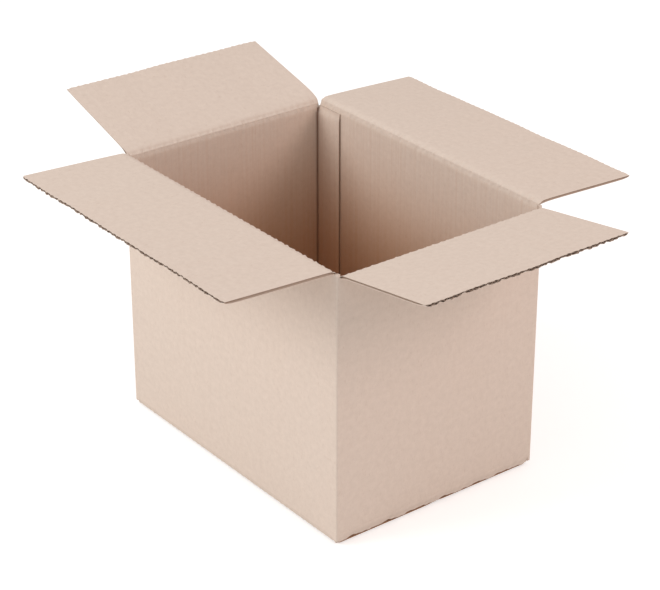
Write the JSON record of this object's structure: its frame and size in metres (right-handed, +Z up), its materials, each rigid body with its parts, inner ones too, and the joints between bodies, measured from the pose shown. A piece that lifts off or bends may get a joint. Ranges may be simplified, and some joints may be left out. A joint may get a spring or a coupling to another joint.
{
  "type": "regular slotted carton",
  "caption": "Plain kraft corrugated shipping carton with a closed bottom, a glued side tab and fold-out top flaps.",
  "frame": {"origin": "centre of the base, on the surface that the carton stands on", "axes": "+X along the long side walls, +Y across towards the back wall, +Z up"},
  "size_m": [0.5204, 0.4362, 0.2871],
  "materials": {
    "kraft_board": "matt uncoated kraft liner on B-flute corrugated board"
  },
  "bodies": {
    "carton": {"carton_body": "kraft_board"},
    "front_flap": {"front_top_flap": "kraft_board"},
    "back_flap": {"back_top_flap": "kraft_board"},
    "right_flap": {"right_top_flap": "kraft_board"},
    "left_flap": {"left_top_flap": "kraft_board"}
  },
  "joints": [
    {"name": "front_flap_fold", "type": "hinge", "parent": "carton", "child": "front_flap", "pos_m": [0, -0.11112, 0.2564], "axis": [1, 0, 0], "range_deg": [-177, 90]},
    {"name": "back_flap_fold", "type": "hinge", "parent": "carton", "child": "back_flap", "pos_m": [0, 0.11112, 0.2564], "axis": [-1, 0, 0], "range_deg": [-182.2, 84.8]},
    {"name": "right_flap_fold", "type": "hinge", "parent": "carton", "child": "right_flap", "pos_m": [0.15612, 0, 0.2532], "axis": [0, 1, 0], "range_deg": [-171.5, 95.5]},
    {"name": "left_flap_fold", "type": "hinge", "parent": "carton", "child": "left_flap", "pos_m": [-0.15612, 0, 0.2532], "axis": [0, -1, 0], "range_deg": [-163.2, 103.8]}
  ]
}
